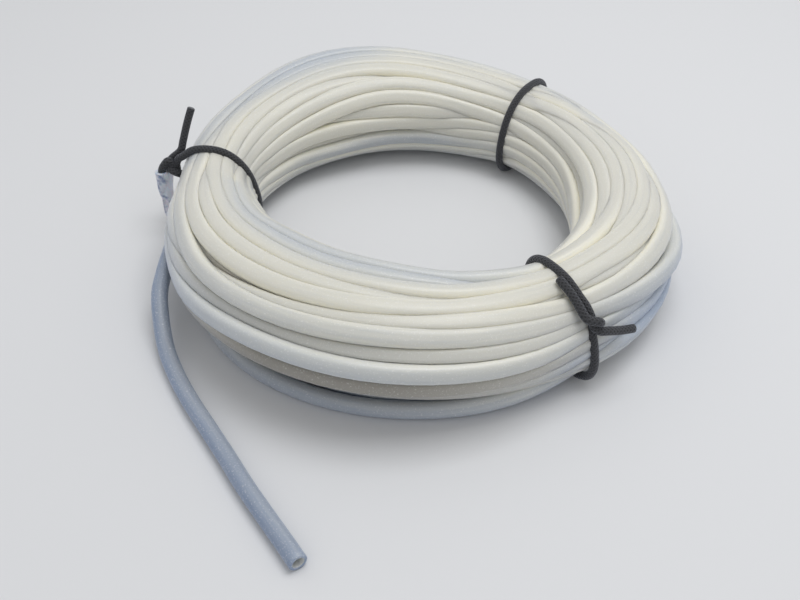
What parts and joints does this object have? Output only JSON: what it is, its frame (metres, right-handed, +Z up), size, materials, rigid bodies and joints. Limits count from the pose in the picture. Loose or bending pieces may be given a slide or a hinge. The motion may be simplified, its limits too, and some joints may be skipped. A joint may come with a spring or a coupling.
{
  "type": "silicone tubing coil",
  "caption": "Long milky silicone tubing wound by hand into a ring, held by black cord ties, with one free end lying beside it and a small blank folded label.",
  "frame": {"origin": "on the resting surface, at the middle of the ring", "axes": "+Z up along the ring's axis; +Y away from the free end, along the longest side; +X to the right, seen from the free end"},
  "size_m": [0.2851, 0.34, 0.0677],
  "materials": {
    "silicone": "milky translucent silicone, satin",
    "tie_cord": "matte black braided cord",
    "label_film": "creased white film"
  },
  "bodies": {
    "root": {"tubing_coil": "silicone", "tubing_tail": "silicone", "left_tie": "tie_cord", "rear_tie": "tie_cord", "front_tie": "tie_cord", "label_tag": "label_film"}
  },
  "joints": []
}
